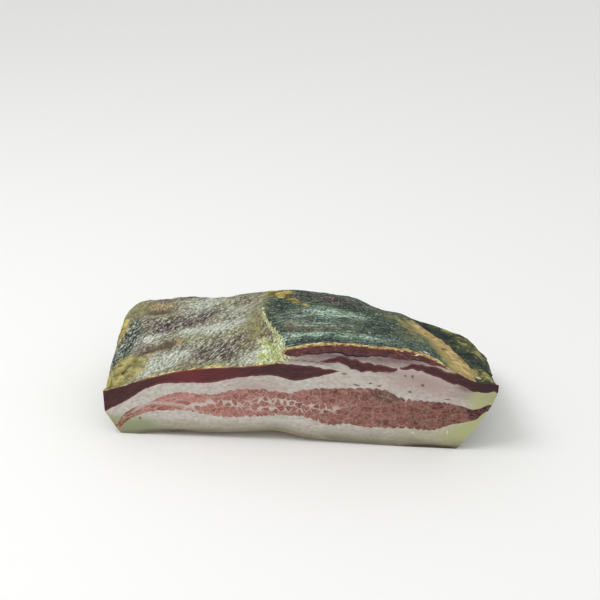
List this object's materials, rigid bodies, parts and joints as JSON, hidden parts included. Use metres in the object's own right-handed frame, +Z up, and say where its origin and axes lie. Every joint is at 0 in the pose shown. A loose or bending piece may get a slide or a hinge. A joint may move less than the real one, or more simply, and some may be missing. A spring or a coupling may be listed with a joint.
{
  "type": "cured pork belly slab",
  "caption": "Oblong slab of dry-cured pork belly with a fresh cut face of layered fat and lean, a mould-covered top and an arched rind.",
  "frame": {"origin": "centre of the footprint, on the surface that the rind rests on", "axes": "+X along the cut face, -Y out of the cut face, +Z up"},
  "size_m": [0.215, 0.0859, 0.0607],
  "materials": {
    "fat": "waxy, slightly moist cut fat",
    "streaky_lean": "moist cut muscle bundles",
    "lean": "dark dried muscle",
    "mouldy_lean": "dry, wrinkled and mould-covered"
  },
  "bodies": {
    "root": {"back_fat": "fat", "streaky_lean": "streaky_lean", "upper_fat": "fat", "left_lean": "lean", "inner_lean": "lean", "right_lean": "lean", "flap_lean": "mouldy_lean"}
  },
  "joints": []
}
